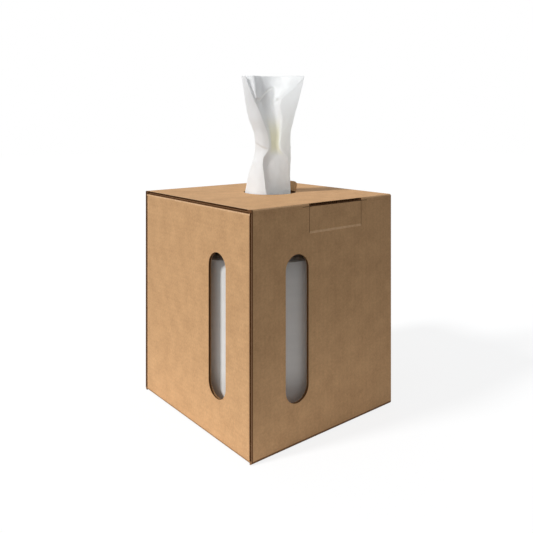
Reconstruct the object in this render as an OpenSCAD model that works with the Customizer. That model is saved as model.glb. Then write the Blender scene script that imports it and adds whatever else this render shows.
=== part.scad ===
// Center-pull wipes box: a folded corrugated carton with a hinged lid,
// a push-in tab, two tall windows, and a roll of dry wipes drawn up through a punched hole.
// The front is -Y, and the part stands on z = 0 with its origin under its middle.

/* [Carton] */
// Outside width of the front
body_w = 224; // [212:1:250]
// Outside depth from front to back
body_d = 234; // [226:1:262]
// Outside height with the lid closed
body_h = 267; // [250:1:300]
// Thickness of the corrugated board
board_t = 3.4; // [2.8:0.1:4]
// Thickness of each liner of the board
liner_t = 0.5; // [0.4:0.05:0.7]
// Distance between two crests of the fluting
flute_pitch = 6.6; // [6:0.1:8]
// How deep the open flutes reach in at a raw edge
flute_depth = 2.5; // [1.5:0.1:4]
// Width of the glued corner flaps
corner_flap_w = 34; // [24:1:40]
// How far the dust flaps reach in under the lid
dust_flap_l = 60; // [40:1:64]

/* [Windows] */
// Width of each window
window_w = 34; // [24:1:40]
// Height of each window from round end to round end
window_h = 165; // [120:1:180]
// Height of the window's lower end above the ground
window_z = 47; // [35:1:60]
// Distance from the near upright edge to the middle of the window
window_offset = 64; // [60:1:80]

/* [Lid] */
// Diameter of the punched pull hole
hole_d = 69; // [62:1:80]
// Middle of the pull hole, to the right of the middle of the lid
hole_x = 8; // [0:1:14]
// Radius of the fold between front wall and lid
fold_r = 2.4; // [1.5:0.1:2.8]
// Length of the tuck flap at the back
tuck_l = 30; // [20:1:36]
// Lean of the tuck flap towards the inside, in degrees
tuck_lean = 6; // [5:0.5:8]
// Height of the bit of board bent up at the hole's rim
petal_h = 14; // [8:1:18]
// Width of the bit of board bent up at the hole's rim
petal_w = 18; // [12:1:24]

/* [Tab] */
// Width of the push-in tab
tab_w = 85; // [60:1:100]
// Height of the tab from its crease to its free edge
tab_h = 29; // [20:1:34]
// Middle of the tab, to the right of the middle of the front
tab_x = 13; // [0:1:20]
// Width of the knife cuts round the tab
kerf = 0.6; // [0.5:0.1:1]
// How far the cut along the fold runs past each side of the tab
slit_run = 10; // [4:1:14]

/* [Roll] */
// Air between the roll and the nearest board round it
roll_clear = 2.6; // [1:0.1:8]
// Air between the roll's top and the dust flaps
roll_headroom = 14; // [12:1:30]
// Diameter of the open middle that the wipes are drawn from
bore_d = 60; // [50:1:66]
// Distance between the turns that show on the roll's top
turn_pitch = 5; // [4:0.5:10]
// Step where the outer end of the roll lies on the turn below
tail_step = 1.2; // [0.6:0.1:2]

/* [Wipe] */
// Height of the drawn wipe above the lid
pull_h = 152; // [120:1:170]
// Thickness of the gathered wipe
wipe_t = 1; // [0.8:0.1:1.2]
// Turn of the wipe's open side from the front, in degrees
pull_turn = -39; // [-60:1:0]
// Depth in the roll at which the wipe leaves the inner turn
feed_depth = 90; // [60:5:150]
// Depth of the pleats, as a share of the gathered wipe's radius
pleat_depth = 0.12; // [0.04:0.01:0.16]

/* [Hidden] */

kraft = "#c69a6b";
kraft_dark = "#a67c50";
wipe_white = "#eef0f0";
roll_white = "#dcdcda";

// Running gap between pieces that move past each other
gap = 0.4;
// Small overreach of a cut past the face that it opens
eps = 1;
// Air between pieces that rest against each other
seat = 0.25;

half_w = body_w / 2;
half_d = body_d / 2;
lid_under = body_h - board_t;
flap_under = lid_under - board_t;
flute_h = board_t - 2 * liner_t;
flute_web = 0.4;
hole_r = hole_d / 2;
tab_z = lid_under - kerf - tab_h;
tab_swing = 25;
roll_r = min(half_w - board_t, half_d - 2 * board_t) - roll_clear;
roll_h = flap_under - roll_headroom - board_t;
bore_r = bore_d / 2;

// Sheet-work shapes

// A quarter round of a fold's outer face, in the corner square at the origin
module fold_quarter(r) {
    intersection() {
        square(r);
        translate([r, r]) circle(r = r, $fn = 48);
    }
}

// A round-ended upright slot, centred on the origin
module slot_shape(w, h) {
    straight = h - w;
    square([w, straight], center = true);
    for (end = [-1, 1]) translate([0, end * straight / 2]) circle(d = w, $fn = 64);
}

// A window through a board that lies in the XY plane from z = 0,
// with the liners standing proud of the fluting between them
module window_cut() {
    translate([0, 0, -eps]) linear_extrude(board_t + 2 * eps) slot_shape(window_w, window_h);
    translate([0, 0, liner_t]) linear_extrude(flute_h)
        slot_shape(window_w + flute_depth, window_h + flute_depth);
}

// The open ends of the fluting along a raw edge: the edge lies on the X axis
// from 0 to run, the board fills z from 0 to board_t, and the flutes run in along +Y
module flute_ends(run) {
    half_pitch = flute_pitch / 2;
    count = floor(run / half_pitch) - 1;
    margin = (run - count * half_pitch) / 2;
    base = half_pitch - flute_web;
    top = base * 0.3;
    for (i = [0 : count - 1]) {
        middle = margin + (i + 0.5) * half_pitch;
        up = i % 2 == 0 ? 1 : -1;
        translate([middle, -eps, board_t / 2]) rotate([-90, 0, 0]) linear_extrude(flute_depth + eps)
            polygon([
                [-base + top / 2, up * flute_h / 2], [base - top / 2, up * flute_h / 2],
                [top / 2, -up * flute_h / 2], [-top / 2, -up * flute_h / 2]
            ]);
    }
}

// The hollow between the liners along a raw edge that runs with the flutes,
// laid out as flute_ends() is
module flute_groove(run) {
    translate([0, -eps, liner_t]) cube([run, flute_depth + eps, flute_h]);
}

// The same hollow along an upright raw edge: it rises from z = 0 and reaches in along +X
module upright_groove(run) {
    rotate([0, -90, -90]) flute_groove(run);
}

// Carton

// Section of base and side walls, in the XZ plane, with the dust flaps' folds at the top
module side_section() {
    stub = 2 * board_t;
    translate([-half_w + board_t, 0]) square([body_w - 2 * board_t, board_t]);
    for (side = [0, 1]) mirror([side, 0]) translate([-half_w, 0]) {
        fold_quarter(board_t);
        translate([0, board_t]) square([board_t, flap_under - board_t]);
        translate([0, lid_under]) mirror([0, 1]) fold_quarter(board_t);
        translate([board_t, flap_under]) square([stub, board_t]);
    }
}

// Base and side walls as one strip from front wall to back wall
module side_strip() {
    run = body_d - 2 * board_t;
    translate([0, run / 2, 0]) rotate([90, 0, 0]) linear_extrude(run) side_section();
}

// A wall that stands on a round fold at its foot, from x = -half_w to half_w,
// with its outer face on y = 0
module end_wall(top) {
    translate([-half_w, 0, 0]) rotate([90, 0, 90]) linear_extrude(body_w) {
        fold_quarter(board_t);
        translate([0, board_t]) square([board_t, top - board_t]);
    }
}

// The hollow raw edges at both ends of a front or back wall
module end_wall_grooves() {
    for (side = [0, 1]) mirror([side, 0, 0])
        translate([-half_w, 0, board_t]) upright_groove(body_h);
}

// A glued flap behind an end wall, folded in from the side wall and ending at the given height
module corner_flap(top) {
    foot = 2 * board_t;
    bevel = board_t * 2;
    reach = corner_flap_w;
    translate([-half_w, 0, 0]) rotate([90, 0, 0]) translate([0, 0, -2 * board_t]) linear_extrude(board_t)
        polygon([
            [0, foot], [reach - bevel, foot], [reach, foot + bevel],
            [reach, top - bevel], [reach - bevel, top], [0, top]
        ]);
}

// A dust flap that lies under the lid, its corners cut back far enough to let the tab swing in past them
module dust_flap() {
    front = -half_d + 2 * board_t + gap;
    back = half_d - board_t - gap - 3 * board_t;
    tab_reach = tab_h * sin(tab_swing) - board_t - gap;
    clear = 2;
    taper = max(9, tab_x + tab_w / 2 + clear - half_w + dust_flap_l + tab_reach);
    translate([0, 0, flap_under]) linear_extrude(board_t)
        polygon([
            [-half_w + board_t, front], [-half_w + dust_flap_l - taper, front],
            [-half_w + dust_flap_l, front + taper], [-half_w + dust_flap_l, back - taper],
            [-half_w + dust_flap_l - taper, back], [-half_w + board_t, back]
        ]);
}

// The bend where a side wall turns in behind an end wall, taken off the upright outer edge
module upright_bend() {
    bend_r = board_t * 0.6;
    translate([-half_w, -half_d + board_t, board_t]) linear_extrude(flap_under - board_t)
        difference() {
            square(bend_r);
            translate([bend_r, bend_r]) circle(r = bend_r, $fn = 48);
        }
}

// The opening that the tab leaves in the front wall, and the cut that runs on along the fold
module tab_opening() {
    cut_w = tab_w + 2 * kerf;
    slit_w = cut_w + 2 * slit_run;
    translate([tab_x - cut_w / 2, -half_d - eps, tab_z]) cube([cut_w, board_t + 2 * eps, tab_h + kerf + eps]);
    translate([tab_x - slit_w / 2, -half_d - eps, lid_under - kerf])
        cube([slit_w, board_t + 2 * eps, kerf + eps]);
}

// The window through the front wall and the one through the left wall
module windows() {
    middle_z = window_z + window_h / 2;
    translate([-half_w + window_offset, -half_d + board_t, middle_z]) rotate([90, 0, 0]) window_cut();
    translate([-half_w, -half_d + window_offset, middle_z]) rotate([90, 0, 90]) window_cut();
}

module carton() {
    back_top = body_h - 2 * gap;
    front_flap_top = flap_under - board_t;
    back_flap_top = lid_under - tuck_l - 2 * board_t;
    color(kraft) difference() {
        union() {
            side_strip();
            translate([0, -half_d, 0]) end_wall(lid_under);
            translate([0, half_d, 0]) mirror([0, 1, 0]) end_wall(back_top);
            for (side = [0, 1], end = [0, 1]) mirror([side, 0, 0]) mirror([0, end, 0])
                translate([0, -half_d, 0]) corner_flap(end == 0 ? front_flap_top : back_flap_top);
            for (side = [0, 1]) mirror([side, 0, 0]) dust_flap();
        }
        for (side = [0, 1], end = [0, 1]) mirror([side, 0, 0]) mirror([0, end, 0]) upright_bend();
        for (end = [0, 1]) mirror([0, end, 0]) translate([0, -half_d, 0]) end_wall_grooves();
        translate([-half_w, half_d - board_t, back_top]) rotate([-90, 0, 0]) flute_ends(body_w);
        windows();
        tab_opening();
    }
}

// Lid

// Section of the lid from front fold to back fold, in the YZ plane
module lid_section() {
    back = half_d - board_t - gap;
    translate([-half_d + fold_r, lid_under]) square([half_d - fold_r + back - board_t, board_t]);
    translate([-half_d, lid_under]) square([fold_r, board_t - fold_r]);
    translate([-half_d, body_h]) mirror([0, 1]) fold_quarter(fold_r);
    translate([back, body_h]) rotate(180) fold_quarter(board_t);
}

// The tuck flap, hung from the inner corner of the back fold, with the bend's own board round its root
module tuck_flap() {
    inset = 12;
    taper = 6;
    set_in = 0.1;
    root = gap;
    half = half_w - inset;
    corner_y = half_d - 2 * board_t - gap - set_in;
    translate([-half, corner_y + board_t / 2, lid_under]) rotate([0, 90, 0])
        cylinder(r = board_t * 0.35, h = 2 * half, $fn = 48);
    translate([0, corner_y, lid_under]) rotate([-tuck_lean, 0, 0]) rotate([90, 0, 0])
        translate([0, 0, -board_t]) linear_extrude(board_t)
            polygon([
                [-half, root], [-half, -tuck_l * 0.4], [-half + taper, -tuck_l],
                [half - taper, -tuck_l], [half, -tuck_l * 0.4], [half, root]
            ]);
}

// The bit of punched board still standing on the hole's rim
module petal() {
    lean = 12;
    thick = board_t * 0.7;
    round_r = petal_w * 0.3;
    setback = 0.8;
    translate([hole_x + hole_r + setback, 0, body_h - board_t / 2]) rotate([0, lean, 0]) rotate([90, 0, 90])
        linear_extrude(thick) {
            square([petal_w, 2 * (petal_h - round_r)], center = true);
            translate([0, petal_h - round_r]) square([petal_w - 2 * round_r, 2 * round_r], center = true);
            for (side = [-1, 1]) translate([side * (petal_w / 2 - round_r), petal_h - round_r])
                circle(r = round_r, $fn = 32);
        }
}

module lid() {
    edge_y = -half_d + fold_r / 2;
    groove_run = body_d - 4 * board_t;
    color(kraft) difference() {
        union() {
            translate([-half_w, 0, 0]) rotate([90, 0, 90]) linear_extrude(body_w) lid_section();
            tuck_flap();
            difference() {
                petal();
                translate([hole_x + hole_r - 2 * petal_w, -petal_w, 0])
                    cube([4 * petal_w, 2 * petal_w, lid_under]);
            }
        }
        translate([hole_x, 0, lid_under - eps]) cylinder(r = hole_r, h = board_t + eps + body_h, $fn = 96);
        translate([hole_x, 0, lid_under + liner_t]) rotate_extrude($fn = 96)
            translate([hole_r - eps, 0]) square([flute_depth / 2 + eps, flute_h]);
        translate([tab_x - tab_w / 2 - kerf, edge_y - eps - fold_r, lid_under - eps])
            cube([tab_w + 2 * kerf, fold_r + eps, board_t + 2 * eps]);
        translate([tab_x - tab_w / 2, edge_y, lid_under]) flute_ends(tab_w);
        for (side = [0, 1]) mirror([side, 0, 0])
            translate([-half_w, groove_run / 2, lid_under]) rotate([0, 0, -90]) flute_groove(groove_run);
    }
}

// Tab

module lock_tab() {
    color(kraft_dark) translate([tab_x - tab_w / 2, -half_d, tab_z]) difference() {
        cube([tab_w, board_t, tab_h]);
        translate([0, 0, tab_h]) rotate([-90, 0, 0]) flute_ends(tab_w);
        for (side = [0, 1]) translate([side * tab_w, 0, 0]) mirror([side, 0, 0]) upright_groove(tab_h);
    }
}

// Roll

// Height of one turn's end above the turns' mean, as they settle unevenly
function turn_lift(i) = 0.7 * sin(i * 73) + 0.4 * sin(i * 31 + 40);

// Half section of the roll, stepped on top where turn lies against turn
module roll_section() {
    inner = roll_r - tail_step;
    turns = floor((inner - bore_r) / turn_pitch);
    pitch = (inner - bore_r) / turns;
    groove = 0.9;
    mean = roll_h - 2;
    top = [for (i = [0 : turns - 1]) each [
        [bore_r + i * pitch, mean - groove + turn_lift(i)],
        [bore_r + (i + 0.25) * pitch, mean + turn_lift(i)],
        [bore_r + (i + 1) * pitch - 0.3, mean + turn_lift(i)]
    ]];
    polygon(concat([[inner, 0], [bore_r, 0]], top, [[inner, mean - groove]]));
}

// The outermost turn, which winds in by one step over a full round and ends in a free edge
module outer_turn() {
    steps = 96;
    end_angle = 200;
    inner = roll_r - tail_step - 2;
    outline = [for (i = [0 : steps]) let (a = end_angle + 360 * i / steps, r = roll_r - tail_step * i / steps)
        [r * cos(a), r * sin(a)]];
    linear_extrude(roll_h - 2) difference() {
        polygon(outline);
        circle(r = inner, $fn = 96);
    }
}

module wipe_roll() {
    color(roll_white) translate([0, 0, board_t]) {
        rotate_extrude($fn = 96) roll_section();
        outer_turn();
    }
}

// Wipe

// The gathered sheet runs from a free edge on its left round the back to a crease on its right,
// and from there back across the front, under the free edge. Each row gives the height above
// the lid, the loop's middle, half width and half depth, the angles of the free edge and the
// crease (the front is at 90), and how deep the front lies in. Heights are shares of the height
// of the drawn wipe, lengths are shares of the hole's radius.
tail_shares = [
    [-board_t / pull_h, -0.093, 0.88, 0.946, 90, 378, 0],
    [0.158, -0.02, 0.783, 0.725, 105, 382, 0],
    [0.29, 0.081, 0.719, 0.58, 117, 394, 0],
    [0.38, 0.116, 0.684, 0.507, 102, 424, 0.116],
    [0.51, 0.093, 0.696, 0.522, 104, 422, 0.26],
    [0.625, 0.046, 0.855, 0.609, 111, 421, 0.406],
    [0.783, 0.064, 1.02, 0.725, 128, 429, 0.58],
    [0.888, 0.087, 1.116, 0.797, 138, 404, 0.58],
    [1, 0.116, 1.217, 0.841, 148, 372, 0.493]
];
tail_units = [pull_h, hole_r, hole_r, hole_r, 1, 1, hole_r];
tail_rows = [for (row = tail_shares) [for (k = [0 : 6]) row[k] * tail_units[k]]];
tail_foot = tail_rows[0];
roll_top = board_t + roll_h - body_h;
feed_r = bore_r - seat - wipe_t / 2;
feed_end = -board_t - seat - wipe_t / 2;
feed_rows = [
    [roll_top - feed_depth, 0, feed_r, feed_r, 60, 360, 0],
    [roll_top - feed_depth / 2, 0, 0.8 * feed_r, 0.86 * feed_r, 74, 368, 0],
    [roll_top - 10, 0, 0.84 * feed_r, 0.9 * feed_r, 84, 374, 0],
    [feed_end, tail_foot[1], tail_foot[2], tail_foot[3], tail_foot[4], tail_foot[5], tail_foot[6]]
];

// Share of the sheet's width that goes round the back, up to the crease
wrap_share = 0.75;
// How far inside the free edge the sheet's other end lies
tuck_in = 2.8;

function lerp(a, b, t) = a + (b - a) * t;
function ease(t) = t <= 0 ? 0 : t >= 1 ? 1 : t * t * (3 - 2 * t);
function bump(x, middle, reach) = ease(1 - abs(x - middle) / reach);

// How fast the rows change with height at row i
function row_slope(rows, i) =
    let (
        below = rows[max(i - 1, 0)],
        above = rows[min(i + 1, len(rows) - 1)]
    )
    (above - below) / (above[0] - below[0]);

// The row at height h, on a smooth curve through the rows that lie round it
function row_at(rows, h, i = 0) =
    h <= rows[i + 1][0] || i == len(rows) - 2
        ? let (step = rows[i + 1][0] - rows[i][0], t = (h - rows[i][0]) / step)
            lerp(rows[i], rows[i + 1], ease(t))
            + step * t * (1 - t) * ((1 - t) * row_slope(rows, i) - t * row_slope(rows, i + 1))
        : row_at(rows, h, i + 1);

// The loop's point at angle a, where rho is 1 on the loop itself
function loop_point(row, a, rho = 1) = [row[1] + row[2] * rho * cos(a), row[3] * rho * sin(a)];

// A point of the pleated part behind: k runs from the free edge to the crease
function wrap_point(row, k, up, open) =
    let (
        a = lerp(row[4], row[5], k),
        wave = 0.5 - 0.35 * sin(7 * a + 50 * up) - 0.15 * sin(13 * a - 90 * up + 40),
        ledge = open * 0.07 * bump(a, 150, 45) * bump(up, 0.5, 0.08)
    )
    loop_point(row, a, 1 - pleat_depth * wave * sin(180 * k) + ledge);

// A point of the sunk front: w runs from the crease to the end under the free edge.
// Near the top two lobes of cloth fall forward in it, with an arch between them.
function front_point(row, w, up, open) =
    let (
        under = loop_point(row, row[4] + 8 * ease(up * 7.6), 1 - tuck_in / min(row[2], row[3])),
        rise = 0.5 + 0.45 * ease((up - 0.7) / 0.2),
        sink = ease(w / 0.4) - rise * ease((w - 0.72) / 0.28),
        onset = 0.78 + 0.1 * bump(w, 0.5, 0.3),
        lobe = open * (0.6 - 0.2 * bump(w, 0.5, 0.3)) * ease(w / 0.3) * (1 - ease((w - 0.85) / 0.15)),
        lift = lobe * ease((up - onset) / 0.09)
    )
    lerp(loop_point(row, row[5]), under, w) - [0, row[6] * (sink - lift)];

// One point of the gathered sheet, which stands over the bore's middle in the roll
// and over the hole's middle from the lid's underside up
function sheet_point(rows, s, h, open = 1) =
    let (
        row = row_at(rows, h),
        up = h / pull_h,
        p = s < wrap_share
            ? wrap_point(row, s / wrap_share, up, open)
            : front_point(row, (s - wrap_share) / (1 - wrap_share), up, open),
        shift = hole_x * ease((h - roll_top) / (-board_t - roll_top))
    )
    [
        shift + p[0] * cos(pull_turn) + p[1] * sin(pull_turn),
        p[0] * sin(pull_turn) - p[1] * cos(pull_turn),
        body_h + h
    ];

// Unit normal of the sheet at grid place i, j
function grid_normal(grid, i, j) =
    let (
        ni = len(grid) - 1,
        nj = len(grid[0]) - 1,
        along = grid[min(i + 1, ni)][j] - grid[max(i - 1, 0)][j],
        up = grid[i][min(j + 1, nj)] - grid[i][max(j - 1, 0)],
        n = cross(along, up)
    )
    n / norm(n);

// A closed thin solid on both sides of a grid of points
module sheet_solid(grid, thick) {
    ni = len(grid);
    nj = len(grid[0]);
    function at(layer, i, j) = layer * ni * nj + i * nj + j;
    points = [for (layer = [0, 1], i = [0 : ni - 1], j = [0 : nj - 1])
        grid[i][j] + (layer - 0.5) * thick * grid_normal(grid, i, j)];
    faces = concat(
        [for (i = [0 : ni - 2], j = [0 : nj - 2]) each [
            [at(1, i, j), at(1, i, j + 1), at(1, i + 1, j + 1)],
            [at(1, i, j), at(1, i + 1, j + 1), at(1, i + 1, j)],
            [at(0, i, j), at(0, i + 1, j + 1), at(0, i, j + 1)],
            [at(0, i, j), at(0, i + 1, j), at(0, i + 1, j + 1)]
        ]],
        [for (i = [0 : ni - 2]) each [
            [at(0, i, 0), at(1, i, 0), at(1, i + 1, 0)],
            [at(0, i, 0), at(1, i + 1, 0), at(0, i + 1, 0)],
            [at(0, i, nj - 1), at(1, i + 1, nj - 1), at(1, i, nj - 1)],
            [at(0, i, nj - 1), at(0, i + 1, nj - 1), at(1, i + 1, nj - 1)]
        ]],
        [for (j = [0 : nj - 2]) each [
            [at(0, 0, j), at(1, 0, j + 1), at(1, 0, j)],
            [at(0, 0, j), at(0, 0, j + 1), at(1, 0, j + 1)],
            [at(0, ni - 1, j), at(1, ni - 1, j), at(1, ni - 1, j + 1)],
            [at(0, ni - 1, j), at(1, ni - 1, j + 1), at(0, ni - 1, j + 1)]
        ]]
    );
    polyhedron(points, faces, convexity = 12);
}

module gathered_sheet(rows, low, high, across, levels, open) {
    grid = [for (i = [0 : across]) [for (j = [0 : levels])
        sheet_point(rows, i / across, lerp(low, high, j / levels), open)]];
    sheet_solid(grid, wipe_t);
}

module wipe_tail() {
    color(wipe_white) gathered_sheet(tail_rows, -board_t, pull_h, 64, 28, 1);
}

module wipe_feed() {
    color(wipe_white) gathered_sheet(feed_rows, feed_rows[0][0], feed_end, 48, 8, 0);
}

carton();
lid();
lock_tab();
wipe_roll();
wipe_feed();
wipe_tail();
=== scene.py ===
"""Looks of a center-pull wipes box: kraft board, wound roll and drawn wipe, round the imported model."""

from __future__ import annotations

import logging
import math
from dataclasses import dataclass
from enum import Enum

import bmesh
import bpy
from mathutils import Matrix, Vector, noise


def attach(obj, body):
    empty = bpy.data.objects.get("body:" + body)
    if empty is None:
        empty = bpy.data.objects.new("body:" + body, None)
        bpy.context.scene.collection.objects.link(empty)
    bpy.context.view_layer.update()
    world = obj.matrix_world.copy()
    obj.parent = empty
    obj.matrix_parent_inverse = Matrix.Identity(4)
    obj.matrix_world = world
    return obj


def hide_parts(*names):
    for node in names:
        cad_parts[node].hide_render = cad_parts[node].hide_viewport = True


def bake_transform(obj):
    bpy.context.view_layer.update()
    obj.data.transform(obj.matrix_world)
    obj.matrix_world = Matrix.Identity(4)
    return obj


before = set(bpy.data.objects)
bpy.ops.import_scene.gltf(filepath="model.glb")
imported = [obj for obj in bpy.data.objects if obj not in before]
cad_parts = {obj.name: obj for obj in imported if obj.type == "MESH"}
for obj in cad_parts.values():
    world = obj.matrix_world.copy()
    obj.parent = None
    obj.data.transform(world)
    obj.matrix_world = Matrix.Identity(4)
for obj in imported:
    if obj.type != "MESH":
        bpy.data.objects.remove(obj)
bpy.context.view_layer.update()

MM = 0.001
LOG = logging.getLogger("wipes_box")
IMAGE_PX = 533
LINER = (0.0004, 0.0007)  # depths in metres over which the board's liner gives way to its fluting
RAW_END = 0.0033  # how far the front and back walls' raw ends reach round onto the sides, in metres
FOLD_HIGHLIGHT_DROP = 0.0052  # how far below the lid's top the painted highlight on the side walls' top folds lies, in metres
MESH_PITCH = 0.0011  # from one row of the wipe's embossed mesh to the next, in metres

Colour = tuple[float, float, float, float]


# Node trees


class Graph:
    """A node tree under construction, with short calls that add nodes and join them."""

    def __init__(self, tree: bpy.types.NodeTree) -> None:
        """Starts on an emptied tree.

        Args:
            tree: The node tree of a material, a world or a group.
        """
        self.tree = tree
        tree.nodes.clear()

    def add(self, kind: str, **settings: object) -> bpy.types.Node:
        """Adds a node.

        Args:
            kind: The node's type, without its leading "ShaderNode" or "Node".
            **settings: Properties of the node to set.

        Returns:
            The new node.
        """
        prefix = "Node" if kind.startswith("Group") and kind != "Group" else "ShaderNode"
        node = self.tree.nodes.new(prefix + kind)
        for name, value in settings.items():
            setattr(node, name, value)
        return node

    def feed(self, target: bpy.types.NodeSocket, value: object) -> None:
        """Sets a socket to a number or colour, or joins another socket to it.

        Args:
            target: The input socket.
            value: A plain value, or the output socket to join.
        """
        if isinstance(value, bpy.types.NodeSocket):
            self.tree.links.new(value, target)
        else:
            target.default_value = value

    def math(
        self, operation: str, first: object, second: object = 0.0, third: object = 0.0, clamp: bool = False
    ) -> bpy.types.NodeSocket:
        """Adds a Math node.

        Args:
            operation: The node's operation.
            first: The first number or socket.
            second: The second number or socket.
            third: The third number or socket.
            clamp: Whether the result is held from 0 to 1.

        Returns:
            The result's socket.
        """
        node = self.add("Math", operation=operation, use_clamp=clamp)
        for socket, value in zip(node.inputs, (first, second, third)):
            self.feed(socket, value)
        return node.outputs["Value"]

    def spread(
        self, value: object, low: float, high: float, start: float = 0.0, end: float = 1.0
    ) -> bpy.types.NodeSocket:
        """Maps a value smoothly from one span to another.

        Args:
            value: The number or socket to map.
            low: Where the span begins.
            high: Where it ends.
            start: What the beginning becomes.
            end: What the end becomes.

        Returns:
            The mapped value's socket.
        """
        node = self.add("MapRange", interpolation_type="SMOOTHSTEP")
        names = ("Value", "From Min", "From Max", "To Min", "To Max")
        for name, number in zip(names, (value, low, high, start, end)):
            self.feed(node.inputs[name], number)
        return node.outputs["Result"]

    def blend(self, share: object, under: object, over: object, mode: str = "MIX") -> bpy.types.NodeSocket:
        """Mixes two colours.

        Args:
            share: How much of the upper colour shows.
            under: The lower colour.
            over: The upper colour.
            mode: The way that they mix.

        Returns:
            The mixed colour's socket.
        """
        node = self.add("Mix", data_type="RGBA", blend_type=mode)
        for index, value in ((0, share), (6, under), (7, over)):
            self.feed(node.inputs[index], value)
        return node.outputs[2]

    def grain(
        self,
        place: object,
        scale: float,
        detail: float = 2.0,
        stretch: tuple[float, float, float] = (1.0, 1.0, 1.0),
    ) -> bpy.types.NodeSocket:
        """Adds a noise texture.

        Args:
            place: The socket that says where on the piece it is.
            scale: Cells per metre.
            detail: Octaves of finer noise.
            stretch: A factor on each axis, below 1 where the grain runs along it.

        Returns:
            The noise value's socket.
        """
        where = place
        if stretch != (1.0, 1.0, 1.0):
            mapping = self.add("Mapping")
            mapping.inputs["Scale"].default_value = stretch
            self.feed(mapping.inputs["Vector"], place)
            where = mapping.outputs["Vector"]
        node = self.add("TexNoise")
        node.inputs["Scale"].default_value = scale
        node.inputs["Detail"].default_value = detail
        self.feed(node.inputs["Vector"], where)
        return node.outputs["Fac"]

    def split(self, vector: object) -> tuple[bpy.types.NodeSocket, ...]:
        """Returns the three parts of a vector.

        Args:
            vector: The vector's socket.
        """
        node = self.add("SeparateXYZ")
        self.feed(node.inputs["Vector"], vector)
        return node.outputs["X"], node.outputs["Y"], node.outputs["Z"]

    def group(self, tree: bpy.types.NodeTree, **values: object) -> bpy.types.Node:
        """Adds a group node.

        Args:
            tree: The group's own tree.
            **values: What goes into its inputs, by name, with "_" for a space.

        Returns:
            The group node.
        """
        node = self.add("Group", node_tree=tree)
        for name, value in values.items():
            self.feed(node.inputs[name.replace("_", " ")], value)
        return node


def new_group(
    name: str, inputs: dict[str, float | None], outputs: dict[str, str]
) -> tuple[Graph, bpy.types.Node, bpy.types.Node]:
    """Makes an empty node group with named sockets.

    Args:
        name: The group's name.
        inputs: Each input with its default, or None where it is a vector.
        outputs: Each output with its kind, such as "Float" or "Color".

    Returns:
        The group's graph, its input node and its output node.
    """
    tree = bpy.data.node_groups.new(name, "ShaderNodeTree")
    for label, default in inputs.items():
        kind = "NodeSocketVector" if default is None else "NodeSocketFloat"
        socket = tree.interface.new_socket(label, in_out="INPUT", socket_type=kind)
        if default is not None:
            socket.default_value = default
    for label, kind in outputs.items():
        tree.interface.new_socket(label, in_out="OUTPUT", socket_type="NodeSocket" + kind)
    graph = Graph(tree)
    return graph, graph.add("GroupInput"), graph.add("GroupOutput")


def fibre_mottle() -> bpy.types.NodeTree:
    """Builds the group for paper and nonwoven: soft blotches, and fine fibres that lie all ways.

    Returns:
        The group, with Vector and Size in, and Blotch, Speck and Fibre out.
    """
    graph, source, out = new_group(
        "fibre_mottle", {"Vector": None, "Size": 1.0}, {"Blotch": "Float", "Speck": "Float", "Fibre": "Float"}
    )
    scaled = graph.add("VectorMath", operation="SCALE")
    graph.feed(scaled.inputs[0], source.outputs["Vector"])
    graph.feed(scaled.inputs["Scale"], source.outputs["Size"])
    place = scaled.outputs["Vector"]
    graph.feed(out.inputs["Blotch"], graph.grain(place, 55.0, 3.0))
    graph.feed(out.inputs["Speck"], graph.grain(place, 420.0, 3.0))
    along = graph.grain(place, 1500.0, 1.0, (1.0, 0.16, 0.16))
    across = graph.grain(place, 1500.0, 1.0, (0.16, 1.0, 0.16))
    upward = graph.grain(place, 1500.0, 1.0, (0.16, 0.16, 1.0))
    both = graph.math("MAXIMUM", graph.math("MAXIMUM", along, across), upward)
    graph.feed(out.inputs["Fibre"], graph.spread(both, 0.45, 0.8))
    return graph.tree


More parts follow.
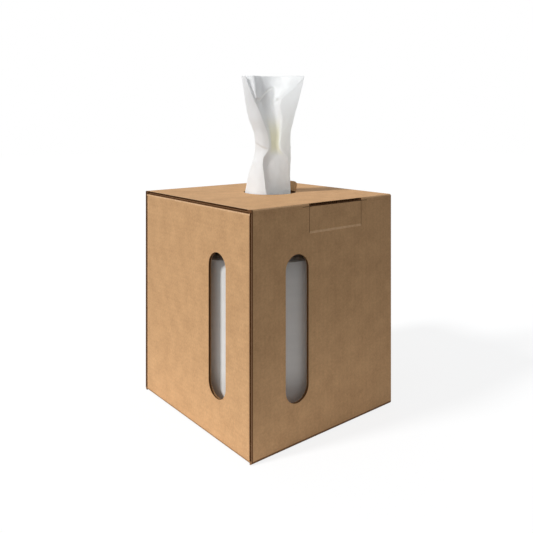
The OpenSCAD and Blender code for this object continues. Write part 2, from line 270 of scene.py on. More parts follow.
def board_faces(half_w: float, half_d: float, height: float) -> bpy.types.NodeTree:
    """Builds the group that tells a folded board's faces, raw edges and outer edges apart, for the painted
    shade in its fluting, on its raw ends, along its bottom and under the lid, and for the paler outer edges,
    real fraying with a painted highlight.

    Args:
        half_w: Half of the box's width, in metres.
        half_d: Half of its depth.
        height: Its height.

    Returns:
        The group, with Vector, Normal and Pitch in; out come the painted shade of the fluting, the corner
        gap, the bottom band and the lid's edge, the painted shade of the raw ends, the paler outer edges with
        their painted highlight, and the flutes.
    """
    graph, source, out = new_group(
        "board_faces",
        {"Vector": None, "Normal": None, "Pitch": 0.0066},
        {"PaintedShade": "Float", "Raw": "Float", "WearAndHighlight": "Float", "Flutes": "Float"},
    )
    x, y, z = graph.split(source.outputs["Vector"])
    nx, ny, _ = graph.split(source.outputs["Normal"])
    from_side = graph.math("SUBTRACT", half_w, graph.math("ABSOLUTE", x))
    from_front = graph.math("SUBTRACT", half_d, graph.math("ABSOLUTE", y))
    middle = height / 2
    from_end = graph.math("SUBTRACT", middle, graph.math("ABSOLUTE", graph.math("SUBTRACT", z, middle)))
    nearest = graph.math("MINIMUM", graph.math("MINIMUM", from_side, from_front), from_end)
    farthest = graph.math("MAXIMUM", graph.math("MAXIMUM", from_side, from_front), from_end)
    total = graph.math("ADD", graph.math("ADD", from_side, from_front), from_end)
    second = graph.math("SUBTRACT", graph.math("SUBTRACT", total, nearest), farthest)
    # Painted shade: the fluting inside the board, seen at raw edges and in the windows, is coloured dark as
    # if lying in shadow.
    below_liner = graph.spread(nearest, *LINER)
    above_liner = graph.spread(nearest, 0.0028, 0.0031, 1.0, 0.0)
    core_shade = graph.math("MULTIPLY", below_liner, above_liner)
    # Painted shade: a dark strip on the front face beside its left corner, where the gap at the corner lies
    # in shadow.
    corner_gap_shade = graph.spread(graph.math("ADD", half_w, x), 0.0014, 0.0024, 0.92, 0.0)
    faces_front = graph.math("LESS_THAN", ny, -0.5)
    corner_gap_shade = graph.math("MULTIPLY", corner_gap_shade, faces_front)
    # Painted shade: a dark band along the bottom of the walls, strongest on the front, standing in for the
    # shadow where the box meets the floor.
    bottom_shade_share = graph.math("MULTIPLY_ADD", faces_front, 0.4, 0.5)
    bottom_shade = graph.math("MULTIPLY", graph.spread(z, 0.0030, 0.0042, 1.0, 0.0), bottom_shade_share)
    on_side = graph.math("GREATER_THAN", graph.math("ABSOLUTE", nx), 0.5)
    down = graph.math("SUBTRACT", height, z)
    # Painted shade: on the side faces, the lid's raw edge and the gap under it are coloured dark as if in
    # shadow.
    below_lid_liner = graph.spread(down, *LINER)
    above_wall = graph.spread(down, 0.0038, 0.0040, 1.0, 0.0)
    lid_edge_shade = graph.math("MULTIPLY", graph.math("MULTIPLY", below_lid_liner, above_wall), on_side)
    # Painted shade: the corner gap, the bottom band and the lid's edge join the fluting's dark colour.
    edge_shades = graph.math("MAXIMUM", graph.math("MAXIMUM", corner_gap_shade, bottom_shade), lid_edge_shade)
    graph.feed(out.inputs["PaintedShade"], graph.math("MAXIMUM", core_shade, edge_shades))
    # Painted highlight: a pale line along the side walls just under the lid, where the walls' top folds catch
    # the light.
    from_wall_top = graph.math("ABSOLUTE", graph.math("SUBTRACT", down, FOLD_HIGHLIGHT_DROP))
    fold_highlight = graph.math("MULTIPLY", graph.spread(from_wall_top, 0.0009, 0.0015, 1.0, 0.0), on_side)
    # Paler outer edges and corners: real fraying with a painted highlight.
    wear_and_highlight = graph.math("MAXIMUM", graph.spread(second, 0.0, 0.0022, 1.0, 0.0), fold_highlight)
    graph.feed(out.inputs["WearAndHighlight"], wear_and_highlight)
    # Painted shade: on the side faces, the front and back walls' raw ends are coloured dark, as the fluting
    # there lies in shadow.
    at_end = graph.math("LESS_THAN", from_front, RAW_END)
    graph.feed(out.inputs["Raw"], graph.math("MULTIPLY", on_side, at_end))
    sidewise = graph.add("Mix", data_type="FLOAT")
    for index, value in ((0, on_side), (2, x), (3, z)):
        graph.feed(sidewise.inputs[index], value)
    turns = graph.math("DIVIDE", sidewise.outputs[0], source.outputs["Pitch"])
    wave = graph.math("SINE", graph.math("MULTIPLY", turns, 2 * math.pi))
    graph.feed(out.inputs["Flutes"], graph.math("MULTIPLY_ADD", wave, 0.5, 0.5))
    return graph.tree


@dataclass(frozen=True)
class KraftBoard:
    """Finish of brown corrugated board: its liner on the faces, painted shade in its fluting, on its raw
    ends, along its bottom and under the lid, and paler outer edges, real fraying with a painted highlight.
    """

    name: str = "kraft_board"
    light: Colour = (0.690, 0.408, 0.200, 1.0)
    dark: Colour = (0.462, 0.258, 0.118, 1.0)
    # Painted shade: the dark colour of the fluting, standing in for the shadow in its hollows.
    core_shade: Colour = (0.135, 0.055, 0.015, 1.0)
    # Painted shade: the dark colour of the walls' raw ends seen on the sides.
    cut_end_shade: Colour = (0.250, 0.132, 0.062, 1.0)
    # Paler colour of the outer edges: real fraying with a painted highlight.
    wear_and_highlight: Colour = (0.700, 0.470, 0.280, 1.0)
    roughness: float = 0.82

    def build(self, mottle: bpy.types.NodeTree, faces: bpy.types.NodeTree) -> bpy.types.Material:
        """Builds the material.

        Args:
            mottle: The group of blotches and fibres.
            faces: The group that finds where the painted shade and the painted highlights go.

        Returns:
            The material.
        """
        material = bpy.data.materials.new(self.name)
        material.use_nodes = True
        graph = Graph(material.node_tree)
        place = graph.add("TexCoord")
        where = place.outputs["Object"]
        paper = graph.group(mottle, Vector=where, Size=1.0)
        board = graph.group(faces, Vector=where, Normal=place.outputs["Normal"])
        tone = graph.math("MULTIPLY_ADD", graph.math("SUBTRACT", paper.outputs["Blotch"], 0.5), 0.9, 0.5)
        tone = graph.math("MULTIPLY_ADD", graph.math("SUBTRACT", paper.outputs["Speck"], 0.5), 0.95, tone)
        tone = graph.math("MULTIPLY_ADD", paper.outputs["Fibre"], 0.16, tone)
        tone = graph.math("MULTIPLY_ADD", board.outputs["Flutes"], 0.07, tone, clamp=True)
        liner = graph.blend(tone, self.dark, self.light)
        # Paler outer edges, real fraying with a painted highlight, patchy with the paper's speck.
        patchy = graph.spread(paper.outputs["Speck"], 0.35, 0.65, 0.15, 0.8)
        wear_and_highlight_share = graph.math("MULTIPLY", board.outputs["WearAndHighlight"], patchy)
        edged = graph.blend(wear_and_highlight_share, liner, self.wear_and_highlight)
        # Painted shade on the walls' raw ends seen on the sides.
        edged = graph.blend(graph.math("MULTIPLY", board.outputs["Raw"], 0.85), edged, self.cut_end_shade)
        # Painted shade in the fluting, in the corner gap, along the bottom and under the lid.
        raw = graph.blend(board.outputs["PaintedShade"], edged, self.core_shade)
        shader = graph.add("BsdfPrincipled")
        graph.feed(shader.inputs["Base Color"], raw)
        rough = graph.math("MULTIPLY_ADD", paper.outputs["Speck"], 0.16, self.roughness - 0.08)
        graph.feed(shader.inputs["Roughness"], rough)
        shader.inputs["Specular IOR Level"].default_value = 0.3
        height = graph.math("MULTIPLY", paper.outputs["Speck"], 0.5)
        height = graph.math("MULTIPLY_ADD", paper.outputs["Fibre"], 0.35, height)
        height = graph.math("MULTIPLY_ADD", board.outputs["Flutes"], 0.5, height)
        bump = graph.add("Bump")
        bump.inputs["Strength"].default_value = 0.35
        bump.inputs["Distance"].default_value = 0.00012
        graph.feed(bump.inputs["Height"], height)
        graph.feed(shader.inputs["Normal"], bump.outputs["Normal"])
        out = graph.add("OutputMaterial")
        graph.feed(out.inputs["Surface"], shader.outputs["BSDF"])
        return material


@dataclass(frozen=True)
class Nonwoven:
    """Finish of a thin dry wipe, which lets some light through."""

    name: str = "wipe_cloth"
    colour: Colour = (0.975, 0.98, 0.98, 1.0)
    # Painted shade, warm: laid on the sunk front of the drawn stretch and over the whole stretch inside the
    # bore.
    shaded: Colour = (0.93, 0.92, 0.80, 1.0)
    thin: Colour = (0.91, 0.93, 0.96, 1.0)
    let_through: tuple[float, float] = (0.34, 0.77)
    layers_reach: float = 0.007
    hole_x: float = 0.008
    rightward: tuple[float, float] = (0.78, -0.63)

    def build(self, mottle: bpy.types.NodeTree) -> bpy.types.Material:
        """Builds the material.

        Args:
            mottle: The group of blotches and fibres.

        Returns:
            The material.
        """
        material = bpy.data.materials.new(self.name)
        material.use_nodes = True
        graph = Graph(material.node_tree)
        where = graph.add("UVMap", uv_map="cloth").outputs["UV"]
        fabric = graph.group(mottle, Vector=where, Size=1.6)
        # Painted shade: the attribute read here says how much of the warm shaded colour is laid on.
        deep = graph.add("Attribute", attribute_name="deep")
        base = graph.blend(deep.outputs["Fac"], self.colour, self.shaded)
        tint = graph.math("MULTIPLY", fabric.outputs["Blotch"], 0.12)
        colour = graph.blend(tint, base, self.thin)
        shader = graph.add("BsdfPrincipled")
        graph.feed(shader.inputs["Base Color"], colour)
        shader.inputs["Roughness"].default_value = 0.9
        shader.inputs["Specular IOR Level"].default_value = 0.2
        shader.inputs["Sheen Weight"].default_value = 0.35
        shader.inputs["Sheen Roughness"].default_value = 0.6
        u, v, _ = graph.split(where)
        rows = graph.math("SINE", graph.math("MULTIPLY", u, 2 * math.pi / MESH_PITCH))
        lines = graph.math("SINE", graph.math("MULTIPLY", v, 2 * math.pi / MESH_PITCH))
        mesh = graph.math("MULTIPLY", rows, lines)
        height = graph.math("ADD", fabric.outputs["Fibre"], fabric.outputs["Speck"])
        height = graph.math("MULTIPLY_ADD", mesh, 0.25, height)
        bump = graph.add("Bump")
        bump.inputs["Strength"].default_value = 0.3
        bump.inputs["Distance"].default_value = 0.0002
        graph.feed(bump.inputs["Height"], height)
        graph.feed(shader.inputs["Normal"], bump.outputs["Normal"])
        glow = graph.add("BsdfTranslucent")
        graph.feed(glow.inputs["Color"], colour)
        mix = graph.add("MixShader")
        place = graph.add("TexCoord").outputs["Object"]
        x, y, _ = graph.split(place)
        along_x, along_y = self.rightward
        to_right = graph.math("MULTIPLY_ADD", x, along_x, graph.math("MULTIPLY", y, along_y))
        middle, reach = along_x * self.hole_x, self.layers_reach
        share = graph.spread(to_right, middle - reach, middle + reach, *self.let_through)
        graph.feed(mix.inputs["Fac"], share)
        graph.feed(mix.inputs[1], shader.outputs["BSDF"])
        graph.feed(mix.inputs[2], glow.outputs["BSDF"])
        out = graph.add("OutputMaterial")
        graph.feed(out.inputs["Surface"], mix.outputs["Shader"])
        return material


@dataclass(frozen=True)
class WoundWipes:
    """Finish of the roll's outside and ends, with painted shade in the lines where turn lies on turn."""

    name: str = "rolled_wipes"
    colour: Colour = (0.955, 0.95, 0.92, 1.0)
    # Painted shade: the grey of the lines on the roll's ends where turn meets turn.
    between_turns_shade: Colour = (0.70, 0.69, 0.66, 1.0)
    turn: float = 0.0011

    def build(self, mottle: bpy.types.NodeTree) -> bpy.types.Material:
        """Builds the material.

        Args:
            mottle: The group of blotches and fibres.

        Returns:
            The material.
        """
        material = bpy.data.materials.new(self.name)
        material.use_nodes = True
        graph = Graph(material.node_tree)
        place = graph.add("TexCoord")
        where = place.outputs["Object"]
        fabric = graph.group(mottle, Vector=where, Size=1.0)
        x, y, z = graph.split(where)
        _, _, nz = graph.split(place.outputs["Normal"])
        radius = graph.math("SQRT", graph.math("MULTIPLY_ADD", x, x, graph.math("MULTIPLY", y, y)))
        wander = graph.math("MULTIPLY", graph.grain(where, 90.0, 2.0), 0.0016)
        wound = graph.math("MULTIPLY", graph.math("ADD", radius, wander), 2 * math.pi / self.turn)
        turns = graph.math("SINE", wound)
        # Painted shade: the lines on the ends, where turn meets turn, are darkened as if in shadow.
        on_end = graph.spread(graph.math("ABSOLUTE", nz), 0.4, 0.8)
        lines = graph.math("MULTIPLY", graph.math("MULTIPLY_ADD", turns, 0.5, 0.5), on_end)
        base = graph.blend(graph.math("MULTIPLY", lines, 0.7), self.colour, self.between_turns_shade)
        bands = graph.grain(where, 60.0, 2.0, (0.2, 0.2, 1.6))
        base = graph.blend(graph.math("MULTIPLY", bands, 0.3), base, (0.70, 0.70, 0.68, 1.0))
        shader = graph.add("BsdfPrincipled")
        graph.feed(shader.inputs["Base Color"], base)
        shader.inputs["Roughness"].default_value = 0.9
        shader.inputs["Specular IOR Level"].default_value = 0.2
        height = graph.math("MULTIPLY", fabric.outputs["Fibre"], 0.4)
        height = graph.math("MULTIPLY_ADD", lines, -1.0, height)
        height = graph.math("MULTIPLY_ADD", bands, 0.8, height)
        bump = graph.add("Bump")
        bump.inputs["Strength"].default_value = 0.5
        bump.inputs["Distance"].default_value = 0.0004
        graph.feed(bump.inputs["Height"], height)
        graph.feed(shader.inputs["Normal"], bump.outputs["Normal"])
        out = graph.add("OutputMaterial")
        graph.feed(out.inputs["Surface"], shader.outputs["BSDF"])
        return material


# View and studio


@dataclass(frozen=True)
class Viewpoint:
    """Where the camera stands, how it is turned and how it frames the box."""

    place: tuple[float, float, float] = (-0.4923, -0.6138, 0.3574)
    heading_deg: float = -38.86
    lens_mm: float = 40.56
    sensor_mm: float = 36.0
    horizon_px: float = 123.1

    def build(self) -> bpy.types.Object:
        """Makes the camera and sets it as the scene's own.

        Returns:
            The camera object.
        """
        data = bpy.data.cameras.new("camera")
        data.lens = self.lens_mm
        data.sensor_width = self.sensor_mm
        data.shift_y = (self.horizon_px - IMAGE_PX / 2) / IMAGE_PX
        data.clip_start = 0.01
        camera = bpy.data.objects.new("camera", data)
        camera.location = self.place
        camera.rotation_euler = (math.radians(90.0), 0.0, math.radians(self.heading_deg))
        bpy.context.collection.objects.link(camera)
        bpy.context.scene.camera = camera
        return camera


@dataclass(frozen=True)
class Lamp:
    """One distant soft lamp: where its light comes from, and its strength, width and colour."""

    source: tuple[float, float, float]
    strength: float
    angle_deg: float
    colour: tuple[float, float, float]

    def build(self, name: str) -> None:
        """Makes the lamp.

        Args:
            name: The lamp's name.
        """
        data = bpy.data.lights.new(name, "SUN")
        data.energy = self.strength
        data.angle = math.radians(self.angle_deg)
        data.color = self.colour
        lamp = bpy.data.objects.new(name, data)
        lamp.rotation_euler = Vector(self.source).to_track_quat("Z", "Y").to_euler()
        bpy.context.collection.objects.link(lamp)


@dataclass
class Studio:
    """Key light, sky, and the plain pale floor that the box stands on."""

    key: Lamp = Lamp((-1.0, 0.24, 0.85), 2.45, 9.0, (1.0, 1.0, 1.0))
    sky_strength: float = 0.41
    floor_size: float = 12.0
    floor_near: float = 0.18
    floor_far: float = 0.42
    floor_bright: Colour = (0.92, 0.92, 0.92, 1.0)
    floor_dull: Colour = (0.18, 0.18, 0.18, 1.0)

    def build(self) -> None:
        """Makes the lamp, the sky and the floor."""
        self.key.build("key")
        self._sky()
        self._floor()

    def _sky(self) -> None:
        """Makes a world that lights softly and looks white to the camera and to gloss."""
        world = bpy.data.worlds.new("sky")
        bpy.context.scene.world = world
        world.use_nodes = True
        graph = Graph(world.node_tree)
        soft = graph.add("Background")
        soft.inputs["Color"].default_value = (0.93, 0.96, 1.0, 1.0)
        soft.inputs["Strength"].default_value = self.sky_strength
        white = graph.add("Background")
        white.inputs["Color"].default_value = (1.0, 1.0, 1.0, 1.0)
        white.inputs["Strength"].default_value = 1.0
        mix = graph.add("MixShader")
        graph.feed(mix.inputs["Fac"], seen_directly(graph))
        graph.feed(mix.inputs[1], soft.outputs["Background"])
        graph.feed(mix.inputs[2], white.outputs["Background"])
        graph.feed(graph.add("OutputWorld").inputs["Surface"], mix.outputs["Shader"])

    def _floor(self) -> None:
        """Makes the floor, nearly white to the camera but able to take a soft shadow."""
        bm = bmesh.new()
        bmesh.ops.create_grid(bm, x_segments=1, y_segments=1, size=self.floor_size / 2)
        floor = mesh_object("floor", bm)
        material = bpy.data.materials.new("floor")
        material.use_nodes = True
        graph = Graph(material.node_tree)
        x, y, _ = graph.split(graph.add("TexCoord").outputs["Object"])
        away = graph.math("SQRT", graph.math("MULTIPLY_ADD", x, x, graph.math("MULTIPLY", y, y)))
        far = graph.spread(away, self.floor_near, self.floor_far)
        dull = graph.add("BsdfDiffuse")
        graph.feed(dull.inputs["Color"], graph.blend(far, self.floor_bright, self.floor_dull))
        matt = graph.add("BsdfDiffuse")
        matt.inputs["Color"].default_value = (1.0, 1.0, 1.0, 1.0)
        glow = graph.add("Emission")
        glow.inputs["Color"].default_value = (1.0, 1.0, 1.0, 1.0)
        glow.inputs["Strength"].default_value = 1.04
        pale = graph.add("MixShader")
        pale.inputs["Fac"].default_value = 0.2
        graph.feed(pale.inputs[1], glow.outputs["Emission"])
        graph.feed(pale.inputs[2], matt.outputs["BSDF"])
        mix = graph.add("MixShader")
        graph.feed(mix.inputs["Fac"], seen_directly(graph))
        graph.feed(mix.inputs[1], dull.outputs["BSDF"])
        graph.feed(mix.inputs[2], pale.outputs["Shader"])
        graph.feed(graph.add("OutputMaterial").inputs["Surface"], mix.outputs["Shader"])
        floor.data.materials.append(material)


def seen_directly(graph: Graph) -> bpy.types.NodeSocket:
    """Adds what tells camera, glossy and transmission rays from those that light the box.

    Args:
        graph: The tree to add to.

    Returns:
        A socket that is 1 for a ray that the camera sees directly or through gloss or glass.
    """
    path = graph.add("LightPath")
    first = graph.math("MAXIMUM", path.outputs["Is Camera Ray"], path.outputs["Is Glossy Ray"])
    return graph.math("MAXIMUM", first, path.outputs["Is Transmission Ray"])


# Meshes


def mesh_object(name: str, bm: bmesh.types.BMesh, smooth: bool = False) -> bpy.types.Object:
    """Turns a bmesh into an object at the origin and frees the bmesh.

    Args:
        name: The object's name.
        bm: The bmesh, with its place in its points, in metres.
        smooth: Whether its faces are shaded smooth.

    Returns:
        The new object, linked to the scene.
    """
    mesh = bpy.data.meshes.new(name)
    bm.to_mesh(mesh)
    bm.free()
    if smooth:
        mesh.shade_smooth()
    piece = bpy.data.objects.new(name, mesh)
    bpy.context.collection.objects.link(piece)
    return piece


def ease(t: float) -> float:
    """Returns t held from 0 to 1 and eased at both ends."""
    t = min(max(t, 0.0), 1.0)
    return t * t * (3.0 - 2.0 * t)


# Board


@dataclass
class Carton:
    """The folded carton, its lid and the liner that carries one into the other."""

    half_w: float = 0.112
    half_d: float = 0.117
    height: float = 0.267
    fold_radius: float = 0.0024
    skin: float = 0.00012
    reach: float = 0.006
    slit: tuple[float, float] = (-0.0401, 0.0661)

    def dress(self, material: bpy.types.Material) -> None:
        """Gives the board's nodes their finish.

        Args:
            material: The board's material.
        """
        for name in ("carton", "lid", "lock_tab"):
            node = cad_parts[name]
            node.data.materials.clear()
            node.data.materials.append(material)

    def build_fold(
        self, name: str, start: float, end: float, material: bpy.types.Material
    ) -> bpy.types.Object:
        """Builds the liner over one stretch of the front fold.

        Args:
            name: The piece's name.
            start: Its left end on X.
            end: Its right end.
            material: The board's material.

        Returns:
            The piece.
        """
        bm = bmesh.new()
        face = -self.half_d - self.skin
        top = self.height + self.skin
        radius = self.fold_radius + self.skin
        lower = self.height - self.reach
        profile = [(face + self.skin, lower), (face, lower + self.skin)]
        for step in range(9):
            turn = math.radians(90.0 * step / 8)
            profile.append((face + radius - radius * math.cos(turn), top - radius + radius * math.sin(turn)))
        inner = -self.half_d + self.reach
        profile += [(inner - self.skin, top), (inner, top - self.skin)]
        edge = [bm.verts.new((start, y, z)) for y, z in profile]
        edges = [bm.edges.new(pair) for pair in zip(edge, edge[1:])]
        swept = bmesh.ops.extrude_edge_only(bm, edges=edges)
        moved = [item for item in swept["geom"] if isinstance(item, bmesh.types.BMVert)]
        bmesh.ops.translate(bm, verts=moved, vec=(end - start, 0.0, 0.0))
        bmesh.ops.recalc_face_normals(bm, faces=bm.faces[:])
        if sum(face_.normal.y for face_ in bm.faces) > 0:
            bmesh.ops.reverse_faces(bm, faces=bm.faces[:])
        piece = mesh_object(name, bm, smooth=True)
        piece.data.materials.append(material)
        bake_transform(piece)
        return piece


@dataclass
class TabCrease:
    """The liner over the tab's crease, pressed up into a low ridge."""

    left: float = -0.0295
    right: float = 0.0555
    face: float = -0.117
    level: float = 0.234
    reach: float = 0.0013
    ridge: float = 0.0003
    skin: float = 0.0001
    # Painted highlight: the crease's liner is a paler kraft, as if its ridge catches the light.
    crease_highlight: KraftBoard = KraftBoard(
        name="crease_highlight_kraft", light=(0.86, 0.57, 0.32, 1.0), dark=(0.62, 0.37, 0.19, 1.0)
    )

    def build(self, material: bpy.types.Material) -> bpy.types.Object:
        """Builds the strip.

        Args:
            material: The creased liner's material.

        Returns:
            The piece.
        """
        bm = bmesh.new()
        steps = 12
        profile = []
        for step in range(steps + 1):
            along = 2.0 * step / steps - 1.0
            proud = self.skin * ease((1.0 - abs(along)) / 0.15) + self.ridge * bump(along, 0.0, 0.45)
            profile.append(bm.verts.new((self.left, self.face - proud, self.level + along * self.reach)))
        edges = [bm.edges.new(pair) for pair in zip(profile, profile[1:])]
        swept = bmesh.ops.extrude_edge_only(bm, edges=edges)
        moved = [item for item in swept["geom"] if isinstance(item, bmesh.types.BMVert)]
        bmesh.ops.translate(bm, verts=moved, vec=(self.right - self.left, 0.0, 0.0))
        bmesh.ops.recalc_face_normals(bm, faces=bm.faces[:])
        if sum(face.normal.y for face in bm.faces) > 0:
            bmesh.ops.reverse_faces(bm, faces=bm.faces[:])
        piece = mesh_object("tab_crease_liner", bm, smooth=True)
        piece.data.materials.append(material)
        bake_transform(piece)
        return piece


# Roll


@dataclass
class Roll:
    """The coreless roll, its turns standing unevenly at the top."""

    outer: float = 0.1052
    bore: float = 0.030
    bottom: float = 0.0034
    top: float = 0.2446
    pitch: float = 0.0021
    groove: float = 0.0007
    shoulder: float = 0.0795
    shoulder_drop: float = 0.0442
    segments: int = 144

    def _lift(self, turn: int) -> float:
        """Returns how far one turn stands above the mean, in metres."""
        return MM * (0.7 * sine(turn * 31.0) + 0.5 * sine(turn * 83.0 + 40.0))

    def build(self, material: bpy.types.Material) -> bpy.types.Object:
        """Spins the roll's half section round its axis.

        Args:
            material: The roll's material.

        Returns:
            The piece.
        """
        turns = int((self.outer - self.bore) / self.pitch)
        step = (self.outer - self.bore) / turns
        section = [(self.bore, self.bottom)]
        section += [(self.bore, self.bottom + (self.top - self.bottom) * k / 6) for k in range(1, 6)]
        for turn in range(turns):
            left = self.bore + turn * step
            drop = self.shoulder_drop if left > self.shoulder else 0.0
            level = self.top - 0.0016 - drop + self._lift(turn)
            section += [(left, level - self.groove), (left + 0.25 * step, level), (left + 0.85 * step, level)]
        rim = self.top - self.shoulder_drop
        section += [(self.outer - 0.0006, rim - 0.0026)]
        section += [(self.outer, rim - 0.004 - (rim - self.bottom - 0.008) * k / 12) for k in range(13)]
        section += [(self.outer - 0.001, self.bottom), (self.bore + 0.03, self.bottom)]
        bm = bmesh.new()
        ring = [bm.verts.new((r, 0.0, z)) for r, z in section]
        edges = [bm.edges.new((a, b)) for a, b in zip(ring, ring[1:] + ring[:1])]
        bmesh.ops.spin(
            bm,
            geom=ring + edges,
            cent=(0, 0, 0),
            axis=(0, 0, 1),
            angle=2 * math.pi,
            steps=self.segments,
            use_merge=True,
        )
        bmesh.ops.remove_doubles(bm, verts=bm.verts[:], dist=1e-6)
        for vert in bm.verts:
            radius = math.hypot(vert.co.x, vert.co.y)
            turn = math.atan2(vert.co.y, vert.co.x)
            sway = noise.noise(Vector((vert.co.x * 22.0, vert.co.y * 22.0, vert.co.z * 6.0)))
            if radius > self.outer - 0.0005:
                spiral = ((turn - math.radians(200.0)) / (2 * math.pi)) % 1.0
                shift = 1.0 + (-0.0008 * spiral + 0.00035 * sway) / radius
                vert.co.x *= shift
                vert.co.y *= shift
            elif vert.co.z > self.top - 0.006:
                vert.co.z += 0.0006 * sway
        bmesh.ops.recalc_face_normals(bm, faces=bm.faces[:])
        piece = mesh_object("roll_dressed", bm, smooth=True)
        piece.data.set_sharp_from_angle(angle=math.radians(40.0))
        piece.data.materials.append(material)
        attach(piece, "box")
        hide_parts("wipe_roll")
        return piece


# Wipe


class Stretch(Enum):
    """The two stretches of the drawn wipe."""

    DRAWN = "wipe_drawn"
    INSIDE = "wipe_inside"


@dataclass(frozen=True)
class Loop:
    """One level of the gathered sheet, in millimetres and degrees.

    The sheet runs from a free edge on its left round the back to a crease on its right,
    and from there back across the front, under the free edge. The front is at 90 degrees.
    """

    height: float
    middle: float
    half_width: float
    half_depth: float
    edge: float
    crease: float
    sunk: float

    def values(self) -> tuple[float, ...]:
        """Returns the level's sizes in the order of its fields."""
        return (self.height, self.middle, self.half_width, self.half_depth, self.edge, self.crease, self.sunk)

    def point(self, angle: float, rho: float = 1.0) -> Vector:
        """Returns the point at an angle as seen from the front, to the right and towards the viewer.

        Args:
            angle: The angle round the loop, in degrees.
            rho: The share of the loop's size, 1 on the loop itself.
        """
        across = self.middle + self.half_width * rho * cosine(angle)
        return Vector((across, self.half_depth * rho * sine(angle)))


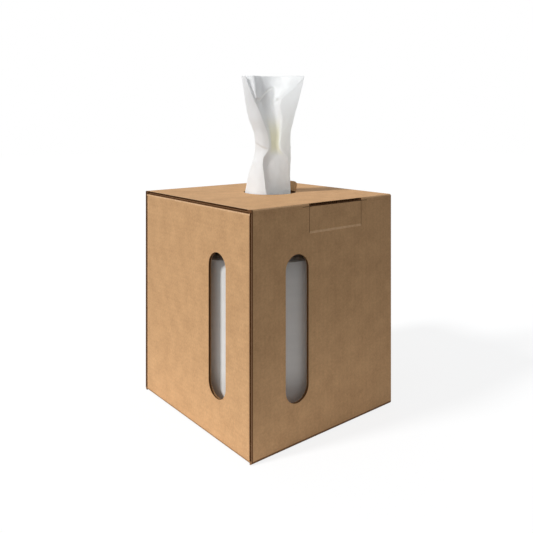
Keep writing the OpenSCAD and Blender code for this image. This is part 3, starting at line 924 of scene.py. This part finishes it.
@dataclass
class Wipe:
    """The wipe drawn from the roll's middle: a stretch in the bore and the gathered end above the lid."""

    turn_deg: float = -39.0
    body_height: float = 267.0
    pull: float = 152.0
    hole_radius: float = 34.5
    hole_x: float = 8.0
    board: float = 3.4
    roll_top: float = -20.8
    bore_reach: float = 29.25
    feed_depth: float = 90.0
    wrap_share: float = 0.75
    tuck_in: float = 2.8
    pleat: float = 0.11
    crumple: float = 0.55
    thickness: float = 0.0005

    def loops(self, stretch: Stretch) -> list[Loop]:
        """Returns one stretch's levels, from the lowest up.

        Args:
            stretch: The stretch above the lid or the one in the bore.
        """
        radius = self.hole_radius
        shares = [
            (-self.board / self.pull, -0.093, 0.88, 0.946, 90, 378, 0),
            (0.158, -0.02, 0.783, 0.725, 105, 382, 0),
            (0.29, 0.081, 0.719, 0.58, 117, 394, 0),
            (0.38, 0.116, 0.684, 0.507, 102, 424, 0.116),
            (0.51, 0.093, 0.696, 0.522, 104, 422, 0.26),
            (0.625, 0.046, 0.855, 0.609, 111, 421, 0.406),
            (0.783, 0.064, 1.02, 0.725, 128, 429, 0.58),
            (0.888, 0.087, 1.116, 0.797, 138, 404, 0.58),
            (1, 0.116, 1.217, 0.841, 148, 372, 0.493),
        ]
        units = (self.pull, radius, radius, radius, 1.0, 1.0, radius)
        drawn = [Loop(*(share * unit for share, unit in zip(row, units))) for row in shares]
        if stretch is Stretch.DRAWN:
            return drawn
        reach = self.bore_reach
        return [
            Loop(self.roll_top - self.feed_depth, 0, reach, reach, 60, 360, 0),
            Loop(self.roll_top - self.feed_depth / 2, 0, 0.8 * reach, 0.86 * reach, 74, 368, 0),
            Loop(self.roll_top - 10, 0, 0.84 * reach, 0.9 * reach, 84, 374, 0),
            Loop(-self.board - 0.75, *drawn[0].values()[1:]),
        ]

    @staticmethod
    def level_at(loops: list[Loop], height: float) -> Loop:
        """Returns the level at a height, on a smooth curve through the levels round it.

        Args:
            loops: The sheet's levels, from the lowest up.
            height: The height above the lid, in millimetres.
        """
        rows = [loop.values() for loop in loops]
        last = len(rows) - 1

        def slopes(index: int) -> list[float]:
            """Returns how fast each size changes with height at one level."""
            below, above = rows[max(index - 1, 0)], rows[min(index + 1, last)]
            return [(high - low) / (above[0] - below[0]) for low, high in zip(below, above)]

        index = next((k for k in range(last) if height <= rows[k + 1][0]), last - 1)
        low, high = rows[index], rows[index + 1]
        step = high[0] - low[0]
        t = (height - low[0]) / step
        even = ease(t)
        return Loop(*(
            a + (b - a) * even + step * t * (1 - t) * ((1 - t) * slope_a - t * slope_b)
            for a, b, slope_a, slope_b in zip(low, high, slopes(index), slopes(index + 1))
        ))

    def _wrapped(self, level: Loop, share: float, up: float, is_open: bool) -> Vector:
        """Returns a point of the pleated part behind, share going from the free edge to the crease."""
        angle = level.edge + (level.crease - level.edge) * share
        wave = 0.5 - 0.35 * sine(7 * angle + 50 * up) - 0.15 * sine(13 * angle - 90 * up + 40)
        rho = 1.0 - self.pleat * wave * sine(180 * share)
        if is_open:
            hem = 0.372 + 0.05 * ease((angle - 105) / 60)
            rho += 0.1 * bump(angle, 132, 50) * ease((up - hem) / 0.015) * ease((0.72 - up) / 0.24)
            rho += 0.045 * bump(angle, 148, 22) * bump(up, 0.25, 0.045)
        return level.point(angle, rho)

    def _front(self, level: Loop, share: float, up: float, is_open: bool) -> Vector:
        """Returns a point of the sunk front, share going from the crease to the end under the free edge."""
        inner = 1 - self.tuck_in / min(level.half_width, level.half_depth)
        under = level.point(level.edge + 8 * ease(up * 7.6), inner)
        rise = 0.5 + 0.45 * ease((up - 0.7) / 0.2)
        depth = ease(share / 0.4) - rise * ease((share - 0.72) / 0.28)
        if is_open:
            onset = 0.78 + 0.1 * bump(share, 0.5, 0.3)
            lobe = (0.72 - 0.3 * bump(share, 0.5, 0.3)) * ease(share / 0.3)
            lobe *= 1 - ease((share - 0.85) / 0.15)
            depth -= lobe * ease((up - onset) / 0.028)
        place = level.point(level.crease).lerp(under, share)
        return place - Vector((0.0, level.sunk * depth))

    def point(self, loops: list[Loop], share: float, height: float, is_open: bool) -> Vector:
        """Returns one point of the sheet, in metres.

        Args:
            loops: The sheet's levels.
            share: How far along the sheet, from its free edge to its hidden end.
            height: The height above the lid, in millimetres.
            is_open: Whether this is the stretch with the open top.
        """
        level = self.level_at(loops, height)
        up = height / self.pull
        if share < self.wrap_share:
            flat = self._wrapped(level, share / self.wrap_share, up, is_open)
        else:
            flat = self._front(level, (share - self.wrap_share) / (1 - self.wrap_share), up, is_open)
        ripple = noise.noise_vector(Vector((flat.x * 0.07, flat.y * 0.07, height * 0.035)))
        ripple += 0.5 * noise.noise_vector(Vector((flat.x * 0.17, flat.y * 0.17, height * 0.11)))
        loose = ease((height + self.board) / 20) if is_open else 0.6
        flat += self.crumple * Vector((ripple.x, ripple.y)) * loose
        shift = self.hole_x * ease((height - self.roll_top) / (-self.board - self.roll_top))
        x = shift + flat.x * cosine(self.turn_deg) + flat.y * sine(self.turn_deg)
        y = flat.x * sine(self.turn_deg) - flat.y * cosine(self.turn_deg)
        return Vector((x, y, self.body_height + height)) * MM

    def build(self, stretch: Stretch, across: int, up: int) -> bpy.types.Object:
        """Builds one stretch of the gathered sheet with its thickness.

        Args:
            stretch: The stretch to build.
            across: Cells along the loop.
            up: Cells from the lowest level to the highest.

        Returns:
            The piece.
        """
        is_open = stretch is Stretch.DRAWN
        loops = self.loops(stretch)
        bm = bmesh.new()
        uv = bm.loops.layers.uv.new("cloth")
        deep = bm.verts.layers.float.new("deep")
        bmesh.ops.create_grid(bm, x_segments=across, y_segments=up, size=0.5)
        low, high = loops[0].height, loops[-1].height
        for face in bm.faces:
            for corner in face.loops:
                place = corner.vert.co
                corner[uv].uv = ((place.x + 0.5) * 0.235, (place.y + 0.5) * (high - low) * MM)
        for vert in bm.verts:
            share, height = vert.co.x + 0.5, low + (vert.co.y + 0.5) * (high - low)
            vert.co = self.point(loops, share, height, is_open)
            # Painted shade: the sunk front of the drawn stretch, in the trough of its V, takes the warm
            # shaded colour; the stretch inside the bore takes some of it all over.
            front = ease((share - self.wrap_share) / 0.05) * ease((0.97 - share) / 0.05)
            shade = front * ease((height - 46.0) / 14.0) * ease((104.0 - height) / 34.0)
            vert[deep] = shade if is_open else 0.3
        piece = mesh_object(stretch.value, bm, smooth=True)
        solid = piece.modifiers.new("thickness", "SOLIDIFY")
        solid.thickness = self.thickness
        solid.offset = 0.0
        return piece

    def dress(self, material: bpy.types.Material) -> None:
        """Builds both stretches, with their finish.

        Args:
            material: The wipe's material.
        """
        tail = self.build(Stretch.DRAWN, 240, 130)
        tail.data.materials.append(material)
        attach(tail, "top")
        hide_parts("wipe_tail")
        feed = self.build(Stretch.INSIDE, 140, 40)
        feed.data.materials.append(material)
        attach(feed, "box")
        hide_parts("wipe_feed")


def sine(degrees: float) -> float:
    """Returns the sine of an angle in degrees."""
    return math.sin(math.radians(degrees))


def cosine(degrees: float) -> float:
    """Returns the cosine of an angle in degrees."""
    return math.cos(math.radians(degrees))


def bump(value: float, middle: float, reach: float) -> float:
    """Returns 1 at the middle, easing down to 0 at a reach to both sides."""
    return ease(1.0 - abs(value - middle) / reach)


def main() -> None:
    """Builds the view, the studio and every piece, and reports each."""
    logging.basicConfig(level=logging.INFO, format="%(name)s: %(message)s")
    bpy.context.scene.view_settings.view_transform = "Standard"
    Viewpoint().build()
    Studio().build()
    carton = Carton()
    mottle = fibre_mottle()
    faces = board_faces(carton.half_w, carton.half_d, carton.height)
    board = KraftBoard().build(mottle, faces)
    cloth = Nonwoven().build(mottle)
    wound = WoundWipes().build(mottle)
    carton.dress(board)
    LOG.info("board dressed")
    carton.build_fold("fold_left", -carton.half_w + 0.0002, carton.slit[0], board)
    carton.build_fold("fold_right", carton.slit[1], carton.half_w - 0.0002, board)
    crease = TabCrease()
    crease.build(crease.crease_highlight.build(mottle, faces))
    LOG.info("front fold and tab crease built")
    Roll().build(wound)
    LOG.info("roll built")
    Wipe().dress(cloth)
    LOG.info("wipe built")


if __name__ == "__main__":
    main()
